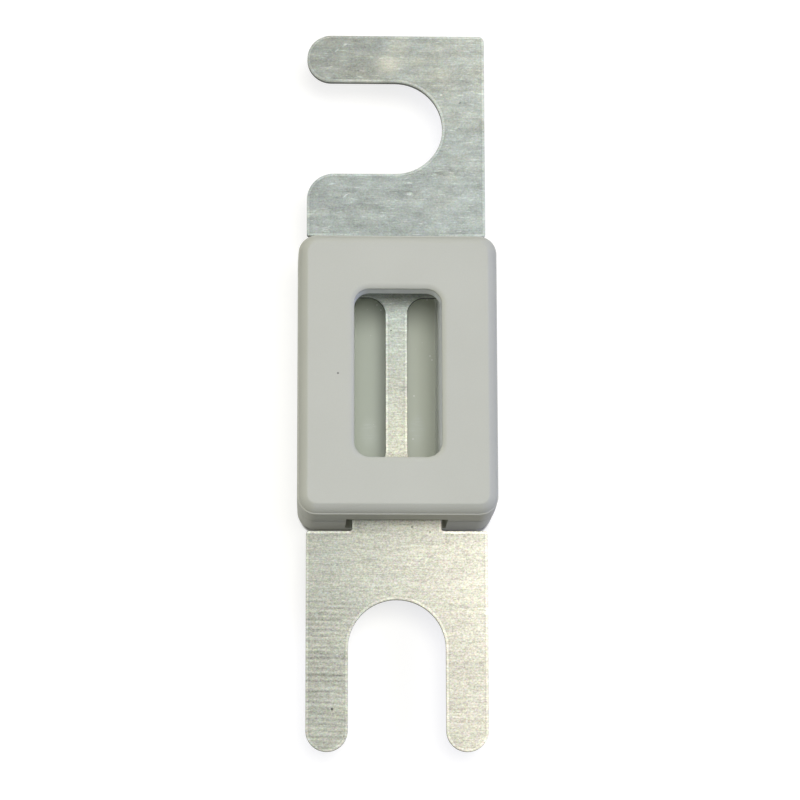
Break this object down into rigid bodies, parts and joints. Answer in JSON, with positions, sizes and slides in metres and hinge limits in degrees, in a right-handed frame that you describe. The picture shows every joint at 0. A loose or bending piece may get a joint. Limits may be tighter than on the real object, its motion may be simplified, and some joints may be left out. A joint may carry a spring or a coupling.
{
  "type": "bolt down strip fuse",
  "caption": "Bolt down strip fuse: a slotted metal strip with a narrowed fuse element, clamped in a grey moulded housing with an open window.",
  "frame": {"origin": "under the middle of the strip's length and width, on the plane of the housing's rear face", "axes": "+Y along the strip towards the terminal slotted from its side, +X across the strip to the right when the window is seen with +Y up, +Z out of the window; the fuse lies on its back"},
  "size_m": [0.022, 0.081, 0.0124],
  "materials": {
    "strip_metal": "tinned, faintly brushed along and across, with light scratches and yellowish stains",
    "housing_plastic": "smooth matte moulding in light grey"
  },
  "bodies": {
    "root": {"fuse_strip": "strip_metal", "front_housing": "housing_plastic", "rear_housing": "housing_plastic"}
  },
  "joints": []
}
